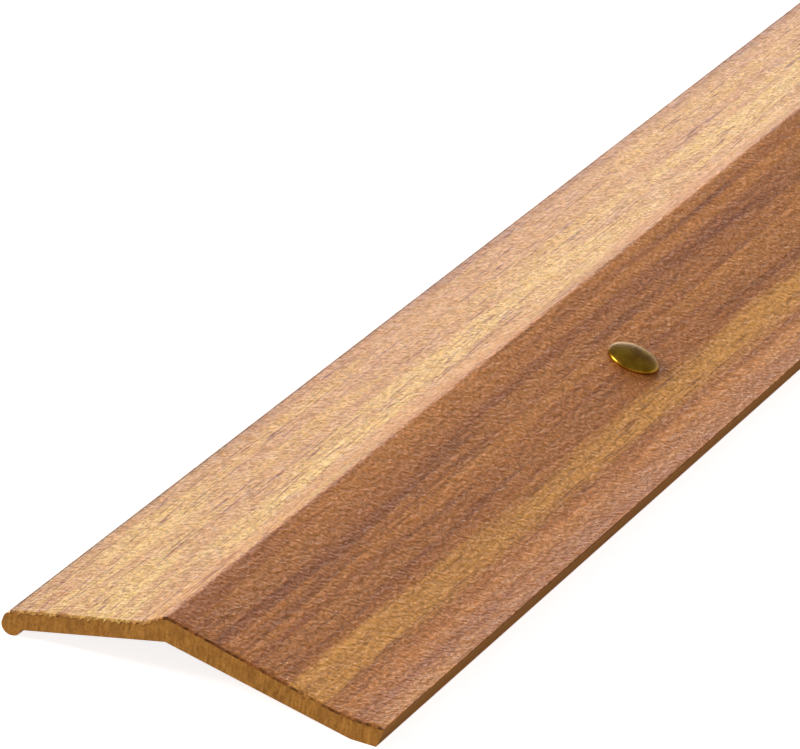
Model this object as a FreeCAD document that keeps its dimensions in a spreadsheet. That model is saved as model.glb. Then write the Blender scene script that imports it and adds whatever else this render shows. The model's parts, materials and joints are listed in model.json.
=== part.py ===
import FreeCAD, Part
import math
import os

import Sketcher

# A nail-down threshold strip: one shallow metal extrusion whose long flange runs down to a
# hard floor and whose other flange covers the edge of a carpet, a decorative wood-grain film
# over the top, and a row of matching nails through the long flange.
#
# Row frame: X along the strip, +Y towards the carpet, +Z up.  The origin is the middle of
# the narrow flat under the toe, which stands on the floor, so the floor is the plane Z = 0.

DIMENSIONS = [
    # alias, value (mm or degrees), what it measures
    ("strip_length", 914.4, "length of the strip"),
    ("overall_width", 34.925, "bead's outside to the toe's top corner"),
    ("bead_radius", 0.98, "round bead along the carpet edge"),
    ("corner_inset", 0.21, "top corner over the bead, in from the bead's outside"),
    ("corner_round", 0.6, "rounding of that corner"),
    ("toe_flat", 2.27, "flat under the toe, which rests on the floor"),
    ("toe_lean", 0.49, "how far the toe's edge leans out at its top"),
    ("toe_land", 3.55, "level top of the toe"),
    ("toe_height", 1.82, "top of the toe over the floor, film included"),
    ("toe_blend", 20.0, "radius between the toe's top and the floor flange"),
    ("floor_slope", 13.5, "slope of the floor flange's top"),
    ("floor_run", 16.8, "width of the floor flange's sloping top, level"),
    ("shoulder_slope", 30.0, "slope of the raised shoulder beside the ridge"),
    ("shoulder_run", 1.86, "width of the shoulder, level"),
    ("shoulder_blend", 3.0, "radius at the shoulder's foot"),
    ("ridge_round", 0.8, "radius along the ridge"),
    ("carpet_slope", 12.1, "slope of the carpet flange's top"),
    ("apex_setback", 0.25, "underside apex, in from the ridge towards the toe"),
    ("apex_height", 3.58, "underside apex over the floor"),
    ("under_slope", 12.4, "slope of the carpet flange's underside"),
    ("under_inset", 0.7, "start of that underside, in from the bead's axis"),
    ("film_thick", 0.2, "thickness of the film, measured upright"),
    ("film_inset", 0.45, "film's edge, in from the corner over the bead"),
    ("nail_count", 6, "nails along the strip"),
    ("nail_pitch", 150.2, "distance between nails"),
    ("nail_line", 9.56, "nails' seats, from the origin towards the carpet"),
    ("hole_radius", 1.4, "nail holes"),
    ("head_radius", 2.5, "nail head"),
    ("head_rim", 0.35, "upright edge of the head"),
    ("head_height", 1.0, "head, from its seat to the top of its dome"),
    ("neck_radius", 1.3, "neck under the head, which passes through the strip"),
    ("neck_length", 2.5, "that neck"),
    ("shank_radius", 1.1, "plain part of the shank"),
    ("plain_end", 9.0, "end of the plain part, from under the head"),
    ("shank_length", 31.75, "nail, from under its head to its tip"),
    ("core_radius", 0.9, "shank between the rings"),
    ("ring_radius", 1.08, "crest of a ring"),
    ("ring_pitch", 1.2, "distance between rings"),
    ("ring_taper", 1.05, "length of one ring's tapering side"),
    ("ring_count", 14, "rings on a shank"),
    ("tip_length", 4.2, "pointed end of the shank"),
]

# A vertex of a body counts as being at a place when it is nearer than this (mm).
TOLERANCE = 0.001

# Places on the cross-section, as expressions of the sheet.  Heights are the film's upper
# surface; the metal lies one film thickness below it.
TOE_TOP_Y = "(-Dims.toe_flat / 2 - Dims.toe_lean)"
KNEE_Y = f"({TOE_TOP_Y} + Dims.toe_land)"
RIDGE_Y = f"({KNEE_Y} + Dims.floor_run)"
RIDGE_Z = "(Dims.toe_height + Dims.floor_run * tan(Dims.floor_slope))"
FOOT_Y = f"({RIDGE_Y} + Dims.shoulder_run)"
FOOT_Z = f"({RIDGE_Z} - Dims.shoulder_run * tan(Dims.shoulder_slope))"
BEAD_OUTSIDE_Y = f"({TOE_TOP_Y} + Dims.overall_width)"
BEAD_Y = f"({BEAD_OUTSIDE_Y} - Dims.bead_radius)"
CORNER_Y = f"({BEAD_OUTSIDE_Y} - Dims.corner_inset)"
APEX_Y = f"({RIDGE_Y} - Dims.apex_setback)"
UNDER_Y = f"({BEAD_Y} - Dims.under_inset)"
UNDER_Z = f"(Dims.apex_height - ({UNDER_Y} - {APEX_Y}) * tan(Dims.under_slope))"
FILM_EDGE_Y = f"({CORNER_Y} - Dims.film_inset)"
SEAT_Z = f"(Dims.toe_height + (Dims.nail_line - {KNEE_Y}) * tan(Dims.floor_slope))"
FIRST_NAIL_X = "(-(Dims.nail_count - 1) / 2 * Dims.nail_pitch)"

# The first ring of a nail's shank: a square step towards the head, and a taper towards the
# tip that meets the core after ring_taper.
RING_TOP_Z = "(-Dims.plain_end - Dims.ring_pitch)"
RING_INSIDE = "(Dims.core_radius / 2)"
RING_DEPTH = (f"(Dims.ring_taper * (Dims.ring_radius - {RING_INSIDE})"
              " / (Dims.ring_radius - Dims.core_radius))")


def carpet_top_z(place_y):
    """Height of the carpet flange's upper surface at a Y place."""
    return f"({FOOT_Z} - ({place_y} - {FOOT_Y}) * tan(Dims.carpet_slope))"


def below_film(height):
    return f"({height} - Dims.film_thick)"


def make_sheet(doc):
    sheet = doc.addObject("Spreadsheet::Sheet", "Dims")
    for row, (alias, value, meaning) in enumerate(DIMENSIONS, start=1):
        sheet.set(f"A{row}", meaning)
        sheet.set(f"B{row}", str(value))
        sheet.setAlias(f"B{row}", alias)
    doc.recompute()
    return sheet


def new_sketch(body, name, plane):
    """A sketch on one of the body's own origin planes."""
    sketch = body.newObject("Sketcher::SketchObject", name)
    origin_plane = next(f for f in body.Origin.OriginFeatures if f.Role == plane)
    sketch.AttachmentSupport = [(origin_plane, "")]
    sketch.MapMode = "FlatFace"
    return sketch


def place_point(sketch, geometry, vertex, place):
    """Hold one vertex of the sketch at a pair of expressions, measured from its origin."""
    for kind, expression in zip(("DistanceX", "DistanceY"), place):
        value = float(sketch.evalExpression(expression))
        constraint = Sketcher.Constraint(kind, -1, 1, geometry, vertex, value)
        index = sketch.addConstraint(constraint)
        sketch.setExpression(f"Constraints[{index}]", expression)


def join_and_place(sketch, places):
    """Close the chain of sides 0, 1, 2, ... and hold the start of each at its place."""
    for side, place in enumerate(places):
        following = (side + 1) % len(places)
        sketch.addConstraint(Sketcher.Constraint("Coincident", side, 2, following, 1))
        place_point(sketch, side, 1, place)


def draw_outline(sketch, places):
    """A closed outline of straight sides through the given places."""
    points = [FreeCAD.Vector(*(float(sketch.evalExpression(e)) for e in p), 0) for p in places]
    for start, end in zip(points, points[1:] + points[:1]):
        sketch.addGeometry(Part.LineSegment(start, end))
    join_and_place(sketch, places)


def draw_dome_outline(sketch, places):
    """A closed outline whose last side is a dome, centred on the sketch's upright axis."""
    points = [FreeCAD.Vector(*(float(sketch.evalExpression(e)) for e in p), 0) for p in places]
    for start, end in zip(points, points[1:]):
        sketch.addGeometry(Part.LineSegment(start, end))
    rim, top = points[-1], points[0]
    rise = top.y - rim.y
    radius = (rim.x ** 2 + rise ** 2) / (2 * rise)
    centre = FreeCAD.Vector(0, top.y - radius, 0)
    start_angle = math.atan2(rim.y - centre.y, rim.x)
    circle = Part.Circle(centre, FreeCAD.Vector(0, 0, 1), radius)
    dome = sketch.addGeometry(Part.ArcOfCircle(circle, start_angle, math.pi / 2))
    sketch.addConstraint(Sketcher.Constraint("PointOnObject", dome, 3, -2))
    join_and_place(sketch, places)


def pad_along_strip(body, sketch, name):
    pad = body.newObject("PartDesign::Pad", name)
    pad.Profile = sketch
    pad.SideType = "Symmetric"
    pad.setExpression("Length", "Dims.strip_length")
    return pad


def round_long_edges(body, name, radius, places):
    """Round the edges that run along the strip through the given places."""
    body.Document.recompute()
    targets = [[float(body.Tip.evalExpression(e)) for e in place] for place in places]
    edges = []
    for number, edge in enumerate(body.Tip.Shape.Edges, start=1):
        ends = [vertex.Point for vertex in edge.Vertexes]
        if any(all(abs(end.y - y) + abs(end.z - z) < TOLERANCE for end in ends)
               for y, z in targets):
            edges.append(f"Edge{number}")
    if len(edges) != len(places):
        raise RuntimeError(f"{name} found {len(edges)} edges for {len(places)} places")
    rounded = body.Tip
    fillet = body.newObject("PartDesign::Fillet", name)
    fillet.Base = (rounded, edges)
    fillet.setExpression("Radius", radius)
    return fillet


def cut_nail_holes(body):
    """A row of holes square to the floor flange, each on a nail's axis."""
    sketch = new_sketch(body, "nail_hole_sketch", "XY_Plane")
    sketch.AttachmentOffset = FreeCAD.Placement(
        FreeCAD.Vector(0, 0, 0), FreeCAD.Rotation(FreeCAD.Vector(1, 0, 0), 1))
    sketch.setExpression(".AttachmentOffset.Rotation.Angle", "Dims.floor_slope")
    sketch.setExpression(".AttachmentOffset.Base.x", FIRST_NAIL_X)
    sketch.setExpression(".AttachmentOffset.Base.y", "Dims.nail_line")
    sketch.setExpression(".AttachmentOffset.Base.z", SEAT_Z)
    centre = FreeCAD.Vector(0, 0, 0)
    radius = float(sketch.evalExpression("Dims.hole_radius"))
    sketch.addGeometry(Part.Circle(centre, FreeCAD.Vector(0, 0, 1), radius))
    sketch.addConstraint(Sketcher.Constraint("Coincident", 0, 3, -1, 1))
    index = sketch.addConstraint(Sketcher.Constraint("Radius", 0, radius))
    sketch.setExpression(f"Constraints[{index}]", "Dims.hole_radius")
    body.Document.recompute()
    volume = body.Tip.Shape.Volume
    hole = body.newObject("PartDesign::Pocket", "nail_hole")
    hole.Profile = sketch
    hole.SideType = "Symmetric"
    hole.setExpression("Length", "Dims.overall_width / 2")
    row = body.newObject("PartDesign::LinearPattern", "nail_hole_row")
    row.Originals = [hole]
    row.Direction = (sketch, ["H_Axis"])
    row.setExpression("Length", "(Dims.nail_count - 1) * Dims.nail_pitch")
    row.setExpression("Occurrences", "Dims.nail_count")
    body.Tip = row
    body.Document.recompute()
    if body.Tip.Shape.Volume >= volume:
        raise RuntimeError(f"{body.Name}: the nail holes cut nothing")


def make_profile(doc):
    """The metal extrusion: two flanges that meet under a ridge, a bead and a square toe."""
    body = doc.addObject("PartDesign::Body", "profile")
    section = new_sketch(body, "section", "YZ_Plane")
    draw_outline(section, [
        ("-Dims.toe_flat / 2", "0"),
        (TOE_TOP_Y, below_film("Dims.toe_height")),
        (KNEE_Y, below_film("Dims.toe_height")),
        (RIDGE_Y, below_film(RIDGE_Z)),
        (FOOT_Y, below_film(FOOT_Z)),
        (CORNER_Y, below_film(carpet_top_z(CORNER_Y))),
        (BEAD_OUTSIDE_Y, "Dims.bead_radius"),
        (BEAD_Y, "Dims.bead_radius"),
        (UNDER_Y, UNDER_Z),
        (APEX_Y, "Dims.apex_height"),
        ("Dims.toe_flat / 2", "0"),
    ])
    pad_along_strip(body, section, "flanges")
    round_long_edges(body, "toe_blend", "Dims.toe_blend",
                     [(KNEE_Y, below_film("Dims.toe_height"))])
    round_long_edges(body, "ridge_round", "Dims.ridge_round", [(RIDGE_Y, below_film(RIDGE_Z))])
    round_long_edges(body, "shoulder_blend", "Dims.shoulder_blend",
                     [(FOOT_Y, below_film(FOOT_Z))])
    round_long_edges(body, "corner_round", "Dims.corner_round",
                     [(CORNER_Y, below_film(carpet_top_z(CORNER_Y)))])
    circle = new_sketch(body, "bead_section", "YZ_Plane")
    centre = [float(circle.evalExpression(e)) for e in (BEAD_Y, "Dims.bead_radius")]
    circle.addGeometry(Part.Circle(
        FreeCAD.Vector(*centre, 0), FreeCAD.Vector(0, 0, 1), centre[1]))
    place_point(circle, 0, 3, (BEAD_Y, "Dims.bead_radius"))
    index = circle.addConstraint(Sketcher.Constraint("Radius", 0, centre[1]))
    circle.setExpression(f"Constraints[{index}]", "Dims.bead_radius")
    pad_along_strip(body, circle, "bead")
    cut_nail_holes(body)
    return body


def make_film(doc):
    """The wood-grain film: the metal's upper surface, one film thickness high."""
    body = doc.addObject("PartDesign::Body", "woodgrain_film")
    top = [
        (TOE_TOP_Y, "Dims.toe_height"),
        (KNEE_Y, "Dims.toe_height"),
        (RIDGE_Y, RIDGE_Z),
        (FOOT_Y, FOOT_Z),
        (FILM_EDGE_Y, carpet_top_z(FILM_EDGE_Y)),
    ]
    underside = [(y, below_film(z)) for y, z in reversed(top)]
    section = new_sketch(body, "section", "YZ_Plane")
    draw_outline(section, top + underside)
    pad_along_strip(body, section, "skin")
    blends = [
        ("toe_blend", "Dims.toe_blend", (KNEE_Y, "Dims.toe_height")),
        ("ridge_round", "Dims.ridge_round", (RIDGE_Y, RIDGE_Z)),
        ("shoulder_blend", "Dims.shoulder_blend", (FOOT_Y, FOOT_Z)),
    ]
    for name, radius, (y, z) in blends:
        round_long_edges(body, f"film_{name}", radius, [(y, z), (y, below_film(z))])
    cut_nail_holes(body)
    return body


def make_nail(doc, number):
    """A round-head nail with a ringed shank, its axis along Z and its seat at the origin."""
    body = doc.addObject("PartDesign::Body", f"nail_{number}")
    outline = new_sketch(body, "nail_outline", "XZ_Plane")
    places = [
        ("0", "Dims.head_height"),
        ("0", "-Dims.shank_length"),
        ("Dims.core_radius", "-Dims.shank_length + Dims.tip_length"),
        ("Dims.core_radius", "-Dims.plain_end"),
        ("Dims.shank_radius", "-Dims.plain_end"),
        ("Dims.shank_radius", "-Dims.neck_length"),
        ("Dims.neck_radius", "-Dims.neck_length"),
        ("Dims.neck_radius", "0"),
        ("Dims.head_radius", "0"),
        ("Dims.head_radius", "Dims.head_rim"),
    ]
    draw_dome_outline(outline, places)
    turn = body.newObject("PartDesign::Revolution", "head_and_shank")
    turn.Profile = outline
    turn.ReferenceAxis = (outline, ["V_Axis"])
    turn.Angle = 360
    ring_outline = new_sketch(body, "ring_outline", "XZ_Plane")
    draw_outline(ring_outline, [
        (RING_INSIDE, RING_TOP_Z),
        ("Dims.ring_radius", RING_TOP_Z),
        (RING_INSIDE, f"({RING_TOP_Z} - {RING_DEPTH})"),
    ])
    ring = body.newObject("PartDesign::Revolution", "ring")
    ring.Profile = ring_outline
    ring.ReferenceAxis = (ring_outline, ["V_Axis"])
    ring.Angle = 360
    rings = body.newObject("PartDesign::LinearPattern", "rings")
    rings.Originals = [ring]
    rings.Direction = (ring_outline, ["V_Axis"])
    rings.Reversed = True
    rings.setExpression("Length", "(Dims.ring_count - 1) * Dims.ring_pitch")
    rings.setExpression("Occurrences", "Dims.ring_count")
    body.Tip = rings
    body.Placement = FreeCAD.Placement(
        FreeCAD.Vector(0, 0, 0), FreeCAD.Rotation(FreeCAD.Vector(1, 0, 0), 1))
    body.setExpression(".Placement.Rotation.Angle", "Dims.floor_slope")
    body.setExpression(".Placement.Base.x",
                       f"{FIRST_NAIL_X} + {number - 1} * Dims.nail_pitch")
    body.setExpression(".Placement.Base.y", "Dims.nail_line")
    body.setExpression(".Placement.Base.z", SEAT_Z)
    return body


def check_document(doc, bodies):
    """Stop unless every object recomputed and every sub-part is one valid solid."""
    for item in doc.Objects:
        if "Invalid" in item.State or "Error" in item.State:
            raise RuntimeError(f"{item.Name} ({item.Label}) failed: {item.State}")
    for body in bodies:
        shape = body.Shape
        if shape.isNull() or not shape.isValid() or len(shape.Solids) != 1:
            raise RuntimeError(f"{body.Label} isn't one valid solid")


def main():
    doc = FreeCAD.newDocument("threshold_strip")
    sheet = make_sheet(doc)
    bodies = [make_profile(doc), make_film(doc)]
    bodies += [make_nail(doc, number) for number in range(1, int(sheet.nail_count) + 1)]
    doc.recompute()
    check_document(doc, bodies)
    os.makedirs("parts", exist_ok=True)
    for body in bodies:
        body.Shape.exportStep(f"parts/{body.Label}.step")
        box = body.Shape.BoundBox
        print(f"{body.Label}: {body.Shape.Volume:.1f} mm3, X {box.XMin:.2f} to {box.XMax:.2f}, "
              f"Y {box.YMin:.2f} to {box.YMax:.2f}, Z {box.ZMin:.2f} to {box.ZMax:.2f}")


main()
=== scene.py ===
import json
import math
import random

import bpy
import numpy as np
from mathutils import Matrix, Vector, noise


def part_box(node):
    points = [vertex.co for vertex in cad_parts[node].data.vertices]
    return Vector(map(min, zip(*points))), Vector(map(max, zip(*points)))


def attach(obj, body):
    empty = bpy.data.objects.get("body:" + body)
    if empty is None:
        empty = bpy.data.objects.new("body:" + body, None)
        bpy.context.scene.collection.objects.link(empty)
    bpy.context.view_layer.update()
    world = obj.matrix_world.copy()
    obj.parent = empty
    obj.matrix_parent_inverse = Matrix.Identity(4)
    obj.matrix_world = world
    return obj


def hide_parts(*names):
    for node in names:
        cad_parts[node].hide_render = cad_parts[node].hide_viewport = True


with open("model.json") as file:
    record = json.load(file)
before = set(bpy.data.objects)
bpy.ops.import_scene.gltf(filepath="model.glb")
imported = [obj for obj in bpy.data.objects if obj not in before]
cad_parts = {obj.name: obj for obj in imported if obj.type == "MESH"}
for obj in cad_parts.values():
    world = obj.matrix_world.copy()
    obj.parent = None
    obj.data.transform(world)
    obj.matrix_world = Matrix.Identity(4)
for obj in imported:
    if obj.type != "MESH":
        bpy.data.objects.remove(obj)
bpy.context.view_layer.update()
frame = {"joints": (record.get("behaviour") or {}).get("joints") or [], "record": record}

# A threshold strip: a wood-grain film over a gold metal extrusion, held by brass nails.
# X runs along the strip, +Y towards the carpet, +Z up, and the floor is Z = 0.
# Lengths are in millimetres unless a comment says otherwise; MM turns them into metres.
MM = 0.001

# ---------------------------------------------------------------- the cross-section
TOE_LAND = 3.55  # level top of the toe
TOE_BLEND = 20.0  # radius from the toe's top to the floor flange
TOE_FLAT = 2.27  # flat under the toe
FLOOR_SLOPE = math.tan(math.radians(13.5))
FLOOR_RUN = 16.8  # level width of the floor flange's slope
RIDGE_ROUND = 0.8
SHOULDER_SLOPE = math.tan(math.radians(30.0))
SHOULDER_RUN = 1.86
SHOULDER_BLEND = 3.0
CARPET_SLOPE = math.tan(math.radians(12.1))
CORNER_INSET = 0.21  # top corner over the bead, in from the bead's outside
CORNER_ROUND = 0.6
BEAD_RADIUS = 0.98
BEAD_TURN = math.pi - 0.30  # radians of the bead's circle below its outside
BEAD_SIDES = 28
UNDER_INSET = 0.73  # start of the carpet flange's underside, in from the bead's axis
UNDER_SLOPE = math.tan(math.radians(12.4))
APEX_SETBACK = 0.25  # underside apex, in from the ridge towards the toe
APEX_HEIGHT = 3.58
APEX_ROUND = 0.4

strip_low, strip_high = (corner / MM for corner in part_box("profile"))
film_low, film_high = (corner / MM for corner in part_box("woodgrain_film"))
FILM_THICK = film_high.z - strip_high.z

toe_y = strip_low.y
toe_z = film_low.z + FILM_THICK
knee_y = toe_y + TOE_LAND
ridge_y = knee_y + FLOOR_RUN
ridge_z = toe_z + FLOOR_RUN * FLOOR_SLOPE
foot_y = ridge_y + SHOULDER_RUN
foot_z = ridge_z - SHOULDER_RUN * SHOULDER_SLOPE
corner_y = strip_high.y - CORNER_INSET
bead_y = strip_high.y - BEAD_RADIUS


def carpet_top(y):
    """Height of the carpet flange's upper surface at a place across the strip."""
    return foot_z - (y - foot_y) * CARPET_SLOPE


def corner_arc(before, corner, after, step):
    """Points of one rounded corner, or the corner itself where it is sharp."""
    at, radius = np.array(corner[:2]), corner[2]
    back = np.array(before[:2]) - at
    ahead = np.array(after[:2]) - at
    back /= np.linalg.norm(back)
    ahead /= np.linalg.norm(ahead)
    turn = math.pi - math.acos(np.clip(back @ ahead, -1, 1))
    if radius == 0 or turn < 1e-4:
        return [at]
    reach = radius * math.tan(turn / 2)
    middle = back + ahead
    middle /= np.linalg.norm(middle)
    centre = at + middle * radius / math.cos(turn / 2)
    start = at + back * reach - centre
    end = at + ahead * reach - centre
    count = max(3, math.ceil(radius * turn / step), math.ceil(math.degrees(turn) / 6))
    arc = []
    for share in np.linspace(0, 1, count + 1):
        from_start = math.sin((1 - share) * turn) * start
        from_end = math.sin(share * turn) * end
        arc.append(centre + (from_start + from_end) / math.sin(turn))
    return arc


def rounded_outline(corners, step):
    """Points along an open outline of (y, z, radius) corners, at most step apart."""
    points = [np.array(corners[0][:2])]
    for before, corner, after in zip(corners, corners[1:], corners[2:]):
        points += corner_arc(before, corner, after, step)
    points.append(np.array(corners[-1][:2]))
    filled = [points[0]]
    for start, end in zip(points, points[1:]):
        count = max(1, math.ceil(np.linalg.norm(end - start) / step - 1e-6))
        filled += [start + (end - start) * k / count for k in range(1, count + 1)]
    return np.array(filled)


def top_corners(drop, edge_y):
    """Corners of the strip's upper surface from the toe to edge_y, lowered by drop."""
    return [
        (toe_y, toe_z - drop, 0),
        (knee_y, toe_z - drop, TOE_BLEND),
        (ridge_y, ridge_z - drop, RIDGE_ROUND),
        (foot_y, foot_z - drop, SHOULDER_BLEND),
        (edge_y, carpet_top(edge_y) - drop, 0),
    ]


# ---------------------------------------------------------------- materials
def linear(red, green, blue):
    """A colour given as 0 to 255 screen values, as the linear RGBA that nodes take."""
    return [((c / 255 + 0.055) / 1.055) ** 2.4 for c in (red, green, blue)] + [1.0]


class Surface:
    """A Principled material and the nodes that feed it."""

    def __init__(self, name):
        self.material = bpy.data.materials.new(name)
        self.material.use_nodes = True
        self.tree = self.material.node_tree
        self.shader = self.tree.nodes["Principled BSDF"]

    def add(self, kind, inputs, output=0, **settings):
        """A node with its inputs set to values or linked to sockets; returns one output."""
        node = self.tree.nodes.new("ShaderNode" + kind)
        for key, value in settings.items():
            setattr(node, key, value)
        for key, value in inputs.items():
            if isinstance(value, bpy.types.NodeSocket):
                self.tree.links.new(value, node.inputs[key])
            else:
                node.inputs[key].default_value = value
        return node.outputs[output]

    def place(self, size):
        """Object coordinates, divided by a feature size along each axis."""
        point = self.add("TexCoord", {}, output="Object")
        return self.add("Mapping", {0: point, "Scale": [1 / (s * MM) for s in size]})

    def noise(self, size, detail=2.0, roughness=0.5, distortion=0.0):
        """Noise whose features measure about size along each axis."""
        return self.add("TexNoise", {"Vector": self.place(size), "Scale": 1.0, "Detail": detail,
                                     "Roughness": roughness, "Distortion": distortion})

    def math(self, operation, first, second=0.0, third=0.0):
        return self.add("Math", {0: first, 1: second, 2: third}, operation=operation)

    def remap(self, value, low, high, to_low=0.0, to_high=1.0, smooth=True):
        """A value clamped to low..high and taken to to_low..to_high."""
        kind = "SMOOTHSTEP" if smooth else "LINEAR"
        return self.add("MapRange", {"Value": value, "From Min": low, "From Max": high,
                                     "To Min": to_low, "To Max": to_high},
                        interpolation_type=kind)

    def ramp(self, value, stops):
        """A colour ramp through (position, screen colour) stops."""
        colour = self.add("ValToRGB", {0: value})
        band = colour.node.color_ramp
        while len(band.elements) < len(stops):
            band.elements.new(0.5)
        for element, (position, shade) in zip(band.elements, stops):
            element.position = position
            element.color = linear(*shade)
        return colour

    def blend(self, factor, first, second, kind="MIX"):
        return self.add("Mix", {0: factor, 6: first, 7: second}, output=2,
                        data_type="RGBA", blend_type=kind)

    def tint(self, amount, mask, colour, shade):
        """A colour with amount of a screen colour laid over it where the mask is 1."""
        return self.blend(self.math("MULTIPLY", mask, amount), colour, linear(*shade))

    def bump(self, height, depth):
        """A relief whose height of 1 stands depth proud."""
        return self.add("Bump", {"Height": height, "Distance": depth * MM, "Strength": 1.0})

    def finish(self, **inputs):
        """Set or link the shader's own inputs, and return the material."""
        for key, value in inputs.items():
            socket = self.shader.inputs[key.replace("_", " ")]
            if isinstance(value, bpy.types.NodeSocket):
                self.tree.links.new(value, socket)
            else:
                socket.default_value = value
        return self.material


# Screen colours of the print, with one painted shade, and where each tone lies, from the toe (0) to
# the bead (1).
HEART_TOE = (194, 118, 52)
HEART_BROWN = (208, 130, 66)
HEART_AMBER = (228, 146, 70)
HEART_HONEY = (254, 178, 88)
HEARTWOOD = [
    (0.00, HEART_TOE), (0.07, HEART_TOE), (0.12, HEART_AMBER), (0.15, HEART_BROWN),
    (0.18, HEART_HONEY), (0.24, HEART_HONEY), (0.26, HEART_BROWN), (0.34, HEART_BROWN),
    (0.40, HEART_AMBER), (0.46, HEART_BROWN), (0.51, HEART_BROWN), (0.56, HEART_AMBER),
]
# Painted shade: this tone darkens the ridge and the shoulder, to hold back the extra light they
# catch from the lamps.
SAP_RIDGE_PAINTED_SHADE = (185, 135, 72)
SAP_LIGHT = (242, 192, 102)
SAP_TAN = (228, 170, 84)
SAP_RIM = (150, 75, 25)
SAPWOOD = [
    (0.58, SAP_RIDGE_PAINTED_SHADE), (0.60, SAP_RIDGE_PAINTED_SHADE), (0.65, SAP_LIGHT), (0.75, SAP_LIGHT),
    (0.82, SAP_TAN), (0.92, SAP_TAN), (0.985, SAP_RIM),
]
HEART_GLOW = (235, 160, 80)
HEART_BAND = (175, 100, 58)
HEART_LINE = (118, 64, 44)
HEART_FIBRE = (148, 84, 50)
SAP_PALE = (250, 210, 120)
SAP_CLOUD = (215, 152, 90)
SAP_FIBRE = (180, 104, 42)
SAP_CRACK = (125, 40, 0)
# Painted shade: a dark line at the film's carpet edge and dark spots at its cut ends.
EDGE_PAINTED_SHADE = (78, 54, 46)
CUT_PAINTED_SHADE = (92, 52, 20)
GRAIN_PERIOD = 600.0  # length over which the print sways once
GRAIN_SWAY = 1.4
RELIEF_HEIGHT = 0.13
GOLD = (204, 140, 62)
GOLD_DARK = (152, 97, 40)
GOLD_LIGHT = (232, 170, 84)
GOLD_SIDE = (224, 150, 66)
BRASS = (206, 158, 46)
BRASS_DARK = (160, 112, 20)


def growth_lines(wood, size, spacing, width, gap_size):
    """Thin broken lines along the grain: contours of a long noise, spacing apart in its value."""
    rise = wood.noise(size, detail=3.0, roughness=0.45)
    lines = wood.remap(wood.math("PINGPONG", rise, spacing), 0, width, 1, 0)
    unbroken = wood.remap(wood.noise(gap_size, detail=2.0), 0.42, 0.56)
    return wood.math("MULTIPLY", lines, unbroken)


def fine_fibres(wood):
    """Short fibres, stronger in some places along the strip than in others."""
    fibre = wood.noise((2.2, 0.16, 0.16), detail=3.0, roughness=0.65, distortion=0.3)
    zones = wood.remap(wood.noise((30, 1.4, 1.4)), 0.36, 0.56, 0.3, 1)
    return wood.math("MULTIPLY", wood.remap(fibre, 0.46, 0.62), zones)


def dark_streaks(wood):
    """Thin cracks along the grain, in patches."""
    lines = growth_lines(wood, (48, 1.5, 1.5), 0.07, 0.022, (5.0, 0.30, 0.30))
    zones = wood.remap(wood.noise((24, 2.4, 2.4)), 0.38, 0.52, 0.25, 1)
    return wood.math("MULTIPLY", lines, zones)


def along_turns(wood, along):
    """The angle of the print's sway at a place along the strip, 0 at its near end."""
    from_end = wood.math("SUBTRACT", along, strip_low.x)
    return wood.math("MULTIPLY", from_end, 2 * math.pi / GRAIN_PERIOD)


def heartwood(wood, along, across, fibres, streaks):
    """Brown wood with a honey-coloured band, whose tones sway a little along the strip."""
    drift = wood.remap(wood.noise((90, 12, 12), detail=1.0), 0.2, 0.8, -0.7, 0.7, smooth=False)
    ragged = wood.noise((16, 1.2, 1.2), detail=4.0, roughness=0.65)
    ragged = wood.remap(ragged, 0.2, 0.8, -0.6, 0.6, smooth=False)
    sway = wood.math("SINE", along_turns(wood, along))
    shift = wood.math("MULTIPLY_ADD", sway, GRAIN_SWAY, drift)
    grain_y = wood.math("ADD", wood.math("ADD", across, shift), ragged)
    share = wood.remap(grain_y, toe_y, strip_high.y, smooth=False)
    colour = wood.ramp(share, HEARTWOOD)

    near_toe = wood.remap(across, toe_y + 7, toe_y + 10, 1, 0)
    glow = wood.remap(wood.noise((45, 2.4, 2.4), detail=3.0), 0.50, 0.64)
    colour = wood.tint(wood.remap(near_toe, 0, 1, 0.2, 0.5), glow, colour, HEART_GLOW)
    bands = wood.remap(wood.noise((55, 1.3, 1.3), detail=3.0), 0.46, 0.66)
    colour = wood.tint(wood.remap(near_toe, 0, 1, 0.6, 0.3), bands, colour, HEART_BAND)
    lines = growth_lines(wood, (110, 3.2, 3.2), 0.10, 0.045, (16, 0.8, 0.8))
    colour = wood.tint(wood.remap(near_toe, 0, 1, 0.4, 0.15), lines, colour, HEART_LINE)
    colour = wood.tint(0.35, fibres, colour, HEART_FIBRE)
    return wood.tint(wood.remap(near_toe, 0, 1, 0.25, 0.6), streaks, colour, HEART_FIBRE)


def sapwood(wood, along, across, fibres, streaks):
    """Pale wood with clouds, pores and fine dark streaks, palest once in every sway."""
    # The ramp starts with painted shade over the ridge and the shoulder.
    colour = wood.ramp(wood.remap(across, toe_y, strip_high.y, smooth=False), SAPWOOD)
    palest = wood.remap(wood.math("COSINE", along_turns(wood, along)), 0.85, 1.0)
    colour = wood.tint(0.45, palest, colour, SAP_PALE)
    clouds = wood.remap(wood.noise((34, 1.9, 1.9), detail=3.0), 0.42, 0.60)
    colour = wood.tint(0.75, clouds, colour, SAP_CLOUD)
    pores = wood.remap(wood.noise((0.45, 0.17, 0.17), detail=2.0), 0.50, 0.62)
    colour = wood.tint(0.6, pores, colour, SAP_FIBRE)
    colour = wood.tint(0.55, fibres, colour, SAP_FIBRE)
    return wood.tint(0.85, streaks, colour, SAP_CRACK)


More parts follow.
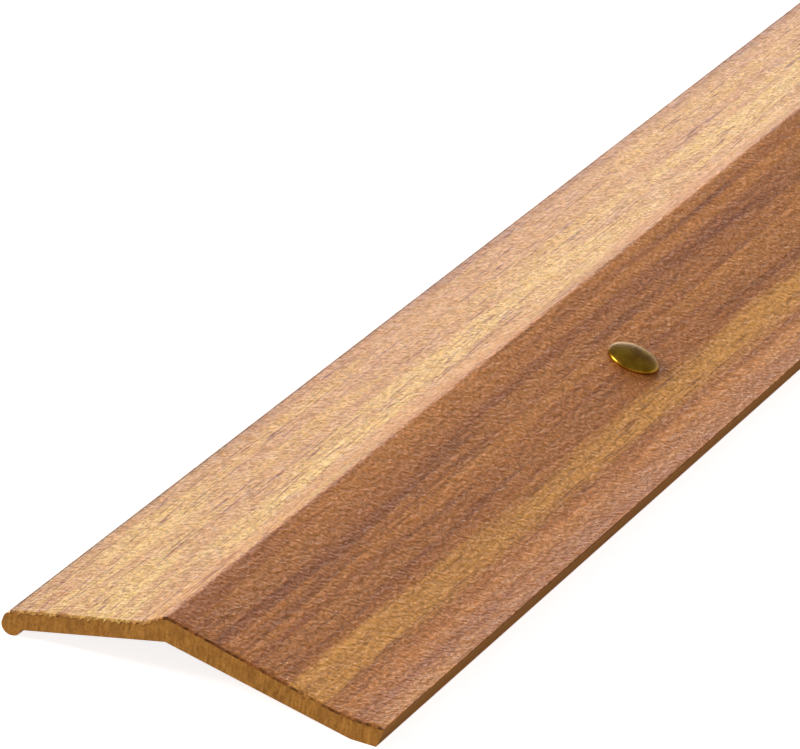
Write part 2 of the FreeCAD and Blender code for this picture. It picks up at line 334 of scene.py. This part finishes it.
def paint_edge_shades(wood, along, across, over_ridge, colour):
    """Painted shade: a dark line along the film's carpet edge, by the bead, and dark spots at its
    cut ends, under the torn film.
    """
    # Painted shade in a thin line along the carpet edge.
    edge_shade = wood.remap(across, film_high.y - 0.22, film_high.y - 0.08)
    colour = wood.tint(1.0, edge_shade, colour, EDGE_PAINTED_SHADE)
    # Painted shade in broken spots just inside the cut ends, strongest on the floor flange.
    from_cut = wood.math("SUBTRACT", strip_high.x, wood.math("ABSOLUTE", along))
    cut_shade = wood.remap(from_cut, 0.02, 0.22, 1, 0)
    spots = wood.remap(wood.noise((1, 0.7, 0.7)), 0.4, 0.6, 0.25, 1)
    cut_shade = wood.math("MULTIPLY", cut_shade, spots)
    return wood.tint(wood.remap(over_ridge, 0, 1, 0.85, 0.1), cut_shade, colour, CUT_PAINTED_SHADE)


def woodgrain():
    """Printed wood: pale sapwood on the carpet flange, darker heartwood on the floor flange, with
    painted shade by the ridge, at the edges and in the relief.
    """
    wood = Surface("woodgrain_film")
    place = wood.place((1, 1, 1))
    along = wood.add("SeparateXYZ", {0: place}, output=0)
    across = wood.add("SeparateXYZ", {0: place}, output=1)
    fibres = fine_fibres(wood)
    streaks = dark_streaks(wood)
    over_ridge = wood.remap(across, ridge_y - 0.15, ridge_y + 0.45)
    colour = wood.blend(over_ridge, heartwood(wood, along, across, fibres, streaks),
                        sapwood(wood, along, across, fibres, streaks))
    colour = paint_edge_shades(wood, along, across, over_ridge, colour)

    pebbles = wood.noise((0.36, 0.46, 0.36), detail=2.0, roughness=0.45)
    swells = wood.noise((1.3, 1.3, 1.3), detail=1.0)
    relief = wood.math("ADD", pebbles, wood.math("MULTIPLY", swells, 0.8))
    # Painted shade and highlight of the pressed relief: the colour is darker where the relief is
    # low and lighter where it is high.
    relief_shade = wood.remap(pebbles, 0.3, 0.7, 0.74, 1.26, smooth=False)
    relief_shade = wood.add("CombineXYZ", {0: relief_shade, 1: relief_shade, 2: relief_shade})
    return wood.finish(Base_Color=wood.blend(1.0, colour, relief_shade, kind="MULTIPLY"),
                       Roughness=wood.remap(relief, 0.6, 1.2, 0.62, 0.5),
                       Specular_IOR_Level=0.12, Normal=wood.bump(relief, RELIEF_HEIGHT))


def gold_metal():
    """Gold-anodised aluminium, saw-cut across its ends and drawn along its length."""
    metal = Surface("gold_aluminium")
    drawn = metal.noise((40, 0.12, 0.12), detail=3.0)
    sawn = metal.noise((1.0, 0.26, 1.4), detail=3.0, roughness=0.6)
    grit = metal.noise((0.28, 0.28, 0.28), detail=2.0, roughness=0.6)
    sawn = metal.math("ADD", metal.math("MULTIPLY", sawn, 0.6), metal.math("MULTIPLY", grit, 0.4))
    facing = metal.add("SeparateXYZ", {0: metal.add("TexCoord", {}, output="Normal")})
    on_cut = metal.remap(metal.math("ABSOLUTE", facing), 0.5, 0.9)
    grain = metal.add("Mix", {0: on_cut, 2: drawn, 3: sawn}, data_type="FLOAT")
    colour = metal.ramp(grain, [(0.30, GOLD_DARK), (0.50, GOLD), (0.72, GOLD_LIGHT)])
    cloud = metal.remap(metal.noise((6, 1.2, 1.2), detail=2.0), 0.35, 0.7)
    colour = metal.tint(0.35, cloud, colour, GOLD_DARK)
    colour = metal.tint(0.6, metal.remap(on_cut, 0, 1, 1, 0), colour, GOLD_SIDE)
    return metal.finish(Base_Color=colour, Metallic=0.4, Specular_IOR_Level=0.3,
                        Roughness=metal.remap(grain, 0.3, 0.7, 0.42, 0.6),
                        Normal=metal.bump(grain, 0.04))


def brass():
    """Antiqued brass plating with fine drawing marks and a darker tone in patches."""
    plating = Surface("brass")
    patches = plating.noise((1.6, 1.6, 1.6), detail=2.0, roughness=0.5)
    marks = plating.noise((0.25, 0.25, 0.25), detail=4.0, roughness=0.7)
    colour = plating.ramp(patches, [(0.35, BRASS_DARK), (0.65, BRASS)])
    return plating.finish(Base_Color=colour, Metallic=1.0, Coat_Weight=0.1, Coat_Roughness=0.18,
                          Roughness=plating.remap(marks, 0.3, 0.7, 0.24, 0.36),
                          Normal=plating.bump(marks, 0.008))


# ---------------------------------------------------------------- meshes
SMOOTH_ANGLE = 35  # degrees: sharper edges than this stay sharp


def new_piece(name, points, faces, body, node, slot, material):
    """A closed mesh, in millimetres, that rides on a body and stands for a CAD node."""
    mesh = bpy.data.meshes.new(name)
    mesh.from_pydata((np.asarray(points) * MM).tolist(), [], faces)
    mesh.validate()
    mesh.materials.append(material)
    piece = bpy.data.objects.new(name, mesh)
    bpy.context.scene.collection.objects.link(piece)
    mesh.shade_smooth()
    mesh.set_sharp_from_angle(angle=math.radians(SMOOTH_ANGLE))
    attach(piece, body)
    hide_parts(node)
    return piece


def stations(low, high, step, first):
    """Places along the strip: a short first and last bay, and even ones between."""
    count = math.ceil((high - low - 2 * first) / step)
    return np.concatenate([[low], np.linspace(low + first, high - first, count + 1), [high]])


def outward(section):
    """Unit normals of an open outline, on its upper side when it runs towards +Y."""
    along = np.gradient(section, axis=0)
    normals = np.stack([-along[:, 1], along[:, 0]], axis=1)
    return normals / np.linalg.norm(normals, axis=1, keepdims=True)


# ---------------------------------------------------------------- the film
EMBOSS_BROAD = 2.6  # sizes of the pressed relief's features
EMBOSS_FINE = 1.3
EMBOSS_HEIGHT = 0.022
FINE_SHIFT = Vector((7, 3, 1))  # keeps the fine noise apart from the broad one
FILM_STEP_ACROSS = 0.36
FILM_STEP_ALONG = 0.6
FILM_END_BAY = 0.12
FILM_UNDER_EVERY = 6  # the plain underside has one column for this many on top
TOOTH_TIP = (0.45, 1.0)  # how far the torn edge's tips and gaps hang, as shares
TOOTH_GAP = (0.0, 0.5)
TOOTH_DROP = 0.36
TOOTH_REACH = 0.06
TOOTH_EDGE = 0.04
TOOTH_TOE_SIDE = 0.45  # share of the drop that is left on the floor flange
TEAR_SEED = 5


def embossing(x, y):
    """Height of the film's pressed relief, about -1 to 1."""
    point = Vector((x, y, 0))
    broad = noise.noise(point / EMBOSS_BROAD)
    wrinkle = 1 - 2.5 * abs(noise.noise(point / EMBOSS_FINE + FINE_SHIFT))
    return 0.5 * broad + 0.5 * wrinkle


def torn_edge(section, draw):
    """How far the film's cut end hangs down at each column: alternate tips and gaps."""
    drop = np.array([draw.uniform(*TOOTH_TIP) if k % 2 else draw.uniform(*TOOTH_GAP)
                     for k in range(len(section))])
    return TOOTH_DROP * drop * np.where(section[:, 0] > ridge_y, 1.0, TOOTH_TOE_SIDE)


def film_points(section, places, kept):
    """The top's grid, the underside's grid, then the torn edge's tips and roots at both ends."""
    columns, rows = len(section), len(places)
    normals = outward(section)
    top = np.zeros((rows, columns, 3))
    top[:, :, 0] = places[:, None]
    top[:, :, 1:] = section
    lift = np.array([[embossing(x, y) for y in section[:, 0]] for x in places])
    top[:, :, 1:] += (EMBOSS_HEIGHT * lift)[:, :, None] * normals
    under = np.zeros((rows - 2, len(kept), 3))
    under[:, :, 0] = places[1:-1, None]
    under[:, :, 1:] = section[kept] - [0, FILM_THICK]
    draw = random.Random(TEAR_SEED)
    tips, roots = [], []
    for row, side in ((0, -1), (rows - 1, 1)):
        drop = torn_edge(section, draw)
        top[row, :, 0] += side * TOOTH_REACH
        top[row, :, 1:] -= drop[:, None] * normals
        at_end = np.full(columns, places[row])
        tips.append(np.column_stack([at_end, section - (drop + TOOTH_EDGE)[:, None] * normals]))
        roots.append(np.column_stack([at_end, section - [0, FILM_THICK]]))
    return np.concatenate([top.reshape(-1, 3), under.reshape(-1, 3), *tips, *roots])


def film_faces(rows, columns, kept):
    """Faces between the points that film_points lays out, in the same order."""
    faces = []

    def at_top(row, column):
        return row * columns + column

    def at_under(row, column):
        return rows * columns + (row - 1) * len(kept) + column

    def at_end(which, column):
        return rows * columns + (rows - 2) * len(kept) + which * columns + column

    for row in range(rows - 1):
        for column in range(columns - 1):
            faces.append((at_top(row, column), at_top(row + 1, column),
                          at_top(row + 1, column + 1), at_top(row, column + 1)))
    for row in range(1, rows - 2):
        for column in range(len(kept) - 1):
            faces.append((at_under(row, column), at_under(row, column + 1),
                          at_under(row + 1, column + 1), at_under(row + 1, column)))
        for column, low in ((0, 0), (columns - 1, len(kept) - 1)):
            wall = (at_top(row, column), at_under(row, low), at_under(row + 1, low),
                    at_top(row + 1, column))
            faces.append(wall if column == 0 else wall[::-1])
    for end, (row, inner) in enumerate(((0, 1), (rows - 1, rows - 2))):
        turned_in = []
        for column in range(columns - 1):
            turned_in.append((at_top(row, column), at_top(row, column + 1),
                              at_end(end, column + 1), at_end(end, column)))
            turned_in.append((at_end(end, column), at_end(end, column + 1),
                              at_end(2 + end, column + 1), at_end(2 + end, column)))
        for low, (begin, stop) in enumerate(zip(kept, kept[1:])):
            roots = [at_end(2 + end, k) for k in range(begin, stop + 1)]
            turned_in.append(roots + [at_under(inner, low + 1), at_under(inner, low)])
        faces += [tuple(f) if end == 0 else tuple(f)[::-1] for f in turned_in]
        for column, low in ((0, 0), (columns - 1, len(kept) - 1)):
            wall = (at_top(row, column), at_end(end, column), at_end(2 + end, column),
                    at_under(inner, low), at_top(inner, column))
            faces.append(wall if (column == 0) == (end == 0) else wall[::-1])
    return faces


def film_grid():
    """The film's points and faces: an embossed top, a plain underside and torn ends."""
    section = rounded_outline(top_corners(0, film_high.y), FILM_STEP_ACROSS)
    places = stations(strip_low.x, strip_high.x, FILM_STEP_ALONG, FILM_END_BAY)
    last = len(section) - 1
    kept = sorted(set(range(0, last, FILM_UNDER_EVERY)) | {last})
    return film_points(section, places, kept), film_faces(len(places), len(section), kept)


# ---------------------------------------------------------------- the profile
PROFILE_STEP = 1.2
PROFILE_BAY = 12.0
PROFILE_END_BAY = 0.5


def profile_outline():
    """The metal's closed outline, from the toe's top over the ridge, the bead and back below."""
    top = rounded_outline(
        top_corners(FILM_THICK, corner_y)[:-1]
        + [(corner_y, carpet_top(corner_y) - FILM_THICK, CORNER_ROUND),
           (strip_high.y, BEAD_RADIUS, 0)], PROFILE_STEP)
    turns = np.linspace(0, -BEAD_TURN, BEAD_SIDES)
    bead = np.stack([bead_y + BEAD_RADIUS * np.cos(turns),
                     BEAD_RADIUS + BEAD_RADIUS * np.sin(turns)], axis=1)
    apex_y = ridge_y - APEX_SETBACK
    under_y = bead_y - UNDER_INSET
    under_z = APEX_HEIGHT - (under_y - apex_y) * UNDER_SLOPE
    below = rounded_outline([(*bead[-1], 0), (under_y, under_z, 0),
                             (apex_y, APEX_HEIGHT, APEX_ROUND), (TOE_FLAT / 2, 0, 0),
                             (-TOE_FLAT / 2, 0, 0)], PROFILE_STEP)
    return np.concatenate([top, bead[1:], below[1:]])


def profile_grid():
    """The metal's points and faces: its outline drawn along the strip, with flat ends."""
    outline = profile_outline()
    places = stations(strip_low.x, strip_high.x, PROFILE_BAY, PROFILE_END_BAY)
    sides = len(outline)
    points = np.zeros((len(places), sides, 3))
    points[:, :, 0] = places[:, None]
    points[:, :, 1:] = outline
    faces = [list(range(sides)), [(len(places) - 1) * sides + k for k in range(sides)][::-1]]
    for row in range(len(places) - 1):
        for side in range(sides):
            at = row * sides + side
            beside = row * sides + (side + 1) % sides
            faces.append((at, at + sides, beside + sides, beside))
    return points.reshape(-1, 3), faces


# ---------------------------------------------------------------- nails
HEAD_RADIUS = 2.5
HEAD_HEIGHT = 1.0
HEAD_EDGE = 0.05  # small bevel under the head
CROWN_FOOT = 0.2  # height at which the crown starts
CROWN_POWER = 1.2
CROWN_STEPS = 22
NECK_RADIUS = 1.3
NECK_LENGTH = 2.5
NECK_GROOVES = (0.7, 1.2, 1.7)  # depths under the head
GROOVE_DEPTH = 0.07
GROOVE_HALF = 0.1
SHANK_RADIUS = 1.1
SHANK_LENGTH = 31.75
PLAIN_END = 9.0
CORE_RADIUS = 0.9
RING_RADIUS = 1.08
RING_PITCH = 1.2
RING_TAPER = 1.05
RING_STEP = 0.03
RING_COUNT = 14
TIP_LENGTH = 4.2
NAIL_SIDES = 64


def nail_axes():
    """Each nail's number, its body, its seat on the film and its axis, out through the head."""
    mounts = {m["name"]: m for m in frame["record"]["mounts"]}
    found = []
    for joint in frame["joints"]:
        number = joint["name"].split("_")[1]
        axis = Vector(joint["axis"])
        middle = Vector(mounts[f"nail_{number}_shank"]["pos_m"]) / MM
        found.append((number, joint["child"], middle + axis * (NECK_LENGTH + PLAIN_END) / 2, axis))
    return found


def nail_outline():
    """Radius and height of a nail's surface, from the top of its dome to its tip."""
    outline = []
    for turn in np.radians(np.linspace(0, 90, CROWN_STEPS)):
        outline.append((HEAD_RADIUS * math.sin(turn),
                        CROWN_FOOT + (HEAD_HEIGHT - CROWN_FOOT) * math.cos(turn) ** CROWN_POWER))
    outline += [(HEAD_RADIUS, HEAD_EDGE), (HEAD_RADIUS - HEAD_EDGE, 0)]
    outline += [(NECK_RADIUS + HEAD_EDGE, 0), (NECK_RADIUS, -HEAD_EDGE)]
    for groove in NECK_GROOVES:
        outline += [(NECK_RADIUS, -groove), (NECK_RADIUS - GROOVE_DEPTH, -groove - GROOVE_HALF),
                    (NECK_RADIUS, -groove - 2 * GROOVE_HALF)]
    outline += [(NECK_RADIUS, -NECK_LENGTH + 0.1), (SHANK_RADIUS, -NECK_LENGTH)]
    outline += [(SHANK_RADIUS, -PLAIN_END), (CORE_RADIUS, -PLAIN_END - 0.1)]
    for ring in range(1, RING_COUNT + 1):
        crest = -PLAIN_END - ring * RING_PITCH
        outline += [(CORE_RADIUS, crest + RING_STEP), (RING_RADIUS, crest),
                    (CORE_RADIUS, crest - RING_TAPER)]
    outline += [(CORE_RADIUS, -SHANK_LENGTH + TIP_LENGTH), (0, -SHANK_LENGTH)]
    return outline


def turned(outline):
    """Points and faces of an outline of (radius, height) turned about the Z axis."""
    inner = outline[1:-1]
    angles = np.linspace(0, 2 * math.pi, NAIL_SIDES, endpoint=False)
    points = [(0, 0, outline[0][1])]
    points += [(r * math.cos(a), r * math.sin(a), z) for r, z in inner for a in angles]
    points.append((0, 0, outline[-1][1]))
    faces = []
    for side in range(NAIL_SIDES):
        beside = (side + 1) % NAIL_SIDES
        faces.append((0, 1 + side, 1 + beside))
        for ring in range(len(inner) - 1):
            at = 1 + ring * NAIL_SIDES
            faces.append((at + side, at + NAIL_SIDES + side, at + NAIL_SIDES + beside, at + beside))
        last = 1 + (len(inner) - 1) * NAIL_SIDES
        faces.append((last + side, len(points) - 1, last + beside))
    return np.array(points), faces


def upright_to(axis):
    """The rotation that takes +Z to an axis."""
    return axis.to_track_quat("Z", "Y").to_matrix()


def make_nails(material):
    """One nail on each axis, each turned a little differently about it."""
    points, faces = turned(nail_outline())
    for number, body, seat, axis in nail_axes():
        turn = upright_to(axis) @ Matrix.Rotation(float(number), 3, "Z")
        placed = points @ np.array(turn).T + np.array(seat)
        new_piece(f"nail_{number}_visual", placed, faces, body, f"nail_{number}", "brass", material)


# ---------------------------------------------------------------- nail holes
HOLE_RADIUS = 1.4
HOLE_SIDES = 40
HOLE_REACH = (-4, 2)  # ends of the cutting rods, from the nails' seats


def hole_cutter():
    """Rods on the nails' axes that the holes are cut with."""
    angles = np.linspace(0, 2 * math.pi, HOLE_SIDES, endpoint=False)
    ring = np.stack([HOLE_RADIUS * np.cos(angles), HOLE_RADIUS * np.sin(angles)], axis=1)
    points, faces = [], []
    for _, _, seat, axis in nail_axes():
        turn = np.array(upright_to(axis))
        first = len(points)
        for height in HOLE_REACH:
            points += [turn @ np.array((x, y, height)) + np.array(seat) for x, y in ring]
        faces.append([first + k for k in range(HOLE_SIDES)][::-1])
        faces.append([first + HOLE_SIDES + k for k in range(HOLE_SIDES)])
        for k in range(HOLE_SIDES):
            beside = (k + 1) % HOLE_SIDES
            faces.append((first + k, first + beside,
                          first + HOLE_SIDES + beside, first + HOLE_SIDES + k))
    mesh = bpy.data.meshes.new("hole_cutter")
    mesh.from_pydata((np.array(points) * MM).tolist(), [], faces)
    return bpy.data.objects.new("hole_cutter", mesh)


def cut_holes(piece, cutter):
    """Cut the nail holes and keep the result as the piece's own mesh."""
    bpy.context.scene.collection.objects.link(cutter)
    cut = piece.modifiers.new("nail_holes", "BOOLEAN")
    cut.operation = "DIFFERENCE"
    cut.object = cutter
    cut.solver = "EXACT"
    graph = bpy.context.evaluated_depsgraph_get()
    piece.data = bpy.data.meshes.new_from_object(piece.evaluated_get(graph), depsgraph=graph)
    piece.modifiers.clear()
    bpy.context.scene.collection.objects.unlink(cutter)


def make_strip():
    """The metal and the film on it, both with their nail holes."""
    cutter = hole_cutter()
    profile = new_piece("profile_visual", *profile_grid(), "strip", "profile",
                        "gold_aluminium", gold_metal())
    film = new_piece("woodgrain_film_visual", *film_grid(), "strip", "woodgrain_film",
                     "woodgrain_film", woodgrain())
    cut_holes(profile, cutter)
    cut_holes(film, cutter)
    return profile, film


# ---------------------------------------------------------------- camera, light, floor
VIEW_AZIMUTH = -159.35  # degrees around +Z from +X, then up from the floor
VIEW_ELEVATION = 22.93
VIEW_ROLL = 7.715  # degrees
VIEW_DISTANCE = 0.659  # metres
VIEW_FOCAL = 9.25  # focal length, in picture widths
VIEW_FROM_END = 57.24  # the point looked at: along the strip, across it and up
VIEW_ACROSS = 22.71
VIEW_UP = 6.82
SENSOR_WIDTH = 36.0

FLOOR_REACH = 3.0  # metres
FLOOR_GREY = (226, 226, 226)
FLOOR_PALE = (232, 232, 232)
FLOOR_GLOW = 0.85
WHITE = (255, 255, 255)

SKY_LOW = 1.2  # strength at the horizon, and SKY_HIGH above the fade
SKY_HIGH = 0.2
SKY_FADE = 0.3  # how high the horizon's light reaches, as the sine of its elevation
SKY_GLEAM = 5.5  # strength of the brighter patch on the horizon
GLEAM_AZIMUTH = 40  # degrees, as is the patch's reach
GLEAM_REACH = 35

# Lamps: angles in degrees, distance and size in metres, power in watts.
KEY_LAMP = {"azimuth": 118, "elevation": 28, "distance": 3.0, "size": 0.9, "power": 54,
            "colour": (1, 0.97, 0.92)}
BACK_LAMP = {"azimuth": 28, "elevation": 21, "distance": 3.0, "size": 1.2, "power": 50,
             "colour": (1, 0.98, 0.95)}
LAMPS_FROM_END = 120  # the point the lamps aim at, along the ridge


def direction(azimuth, elevation):
    """The unit vector at two angles in degrees: around +Z from +X, and up from the floor."""
    azimuth, elevation = math.radians(azimuth), math.radians(elevation)
    return Vector((math.cos(azimuth) * math.cos(elevation),
                   math.sin(azimuth) * math.cos(elevation), math.sin(elevation)))


def add_lamp(name, target, azimuth, elevation, distance, size, power, colour):
    """A square soft light aimed at a point."""
    away = direction(azimuth, elevation)
    light = bpy.data.lights.new(name, "AREA")
    light.size = size
    light.energy = power
    light.color = colour
    lamp = bpy.data.objects.new(name, light)
    bpy.context.scene.collection.objects.link(lamp)
    lamp.location = target + away * distance
    lamp.rotation_euler = away.to_track_quat("Z", "Y").to_euler()
    return lamp


def add_camera():
    """A long lens that looks along the strip from its near end."""
    target = Vector((strip_low.x + VIEW_FROM_END, VIEW_ACROSS, VIEW_UP)) * MM
    away = direction(VIEW_AZIMUTH, VIEW_ELEVATION)
    data = bpy.data.cameras.new("camera")
    data.sensor_width = SENSOR_WIDTH
    data.lens = VIEW_FOCAL * SENSOR_WIDTH
    data.clip_start = 0.01
    camera = bpy.data.objects.new("camera", data)
    bpy.context.scene.collection.objects.link(camera)
    turn = upright_to(away) @ Matrix.Rotation(math.radians(VIEW_ROLL), 3, "Z")
    camera.matrix_world = Matrix.Translation(target + away * VIEW_DISTANCE) @ turn.to_4x4()
    bpy.context.scene.camera = camera


def add_floor():
    """A pale table top with a glow that only the camera sees, so its shadows stay light."""
    mesh = bpy.data.meshes.new("floor")
    reach = FLOOR_REACH
    mesh.from_pydata([(-reach, -reach, 0), (reach, -reach, 0), (reach, reach, 0),
                      (-reach, reach, 0)], [], [(0, 1, 2, 3)])
    floor = bpy.data.objects.new("floor", mesh)
    bpy.context.scene.collection.objects.link(floor)
    top = Surface("floor")
    grain = top.noise((40, 40, 40), detail=2.0)
    glow = top.math("MULTIPLY", top.add("LightPath", {}, output="Is Camera Ray"), FLOOR_GLOW)
    mesh.materials.append(top.finish(
        Base_Color=top.ramp(grain, [(0.3, FLOOR_GREY), (0.7, FLOOR_PALE)]),
        Roughness=0.9, Specular_IOR_Level=0.18,
        Emission_Color=linear(*WHITE), Emission_Strength=glow))


def add_sky():
    """A white studio wall, bright low down and brighter still in one patch, dim overhead."""
    world = bpy.data.worlds.new("studio")
    bpy.context.scene.world = world
    world.use_nodes = True
    tree = world.node_tree
    looking = tree.nodes.new("ShaderNodeTexCoord").outputs["Generated"]
    height = tree.nodes.new("ShaderNodeSeparateXYZ")
    tree.links.new(looking, height.inputs[0])
    towards = tree.nodes.new("ShaderNodeVectorMath")
    towards.operation = "DOT_PRODUCT"
    towards.inputs[1].default_value = direction(GLEAM_AZIMUTH, 0)
    tree.links.new(looking, towards.inputs[0])
    gleam = tree.nodes.new("ShaderNodeMapRange")
    gleam.interpolation_type = "SMOOTHSTEP"
    gleam.inputs["From Min"].default_value = math.cos(math.radians(GLEAM_REACH))
    gleam.inputs["To Min"].default_value = SKY_LOW
    gleam.inputs["To Max"].default_value = SKY_GLEAM
    tree.links.new(towards.outputs["Value"], gleam.inputs["Value"])
    fade = tree.nodes.new("ShaderNodeMapRange")
    fade.inputs["From Max"].default_value = SKY_FADE
    fade.inputs["To Max"].default_value = SKY_HIGH
    tree.links.new(height.outputs["Z"], fade.inputs["Value"])
    tree.links.new(gleam.outputs[0], fade.inputs["To Min"])
    background = tree.nodes["Background"]
    background.inputs["Color"].default_value = (1, 1, 1, 1)
    tree.links.new(fade.outputs[0], background.inputs["Strength"])


def add_lamps(strip):
    """A key lamp for everything, and a back lamp that lights the strip's own pieces only."""
    target = Vector((strip_low.x + LAMPS_FROM_END, ridge_y, ridge_z)) * MM
    add_lamp("key", target, **KEY_LAMP)
    back = add_lamp("back", target, **BACK_LAMP)
    lit = bpy.data.collections.new("lit_by_back")
    for piece in strip:
        lit.objects.link(piece)
    back.light_linking.receiver_collection = lit


strip = make_strip()
make_nails(brass())
add_floor()
add_sky()
add_lamps(strip)
add_camera()
bpy.context.scene.view_settings.view_transform = "Standard"
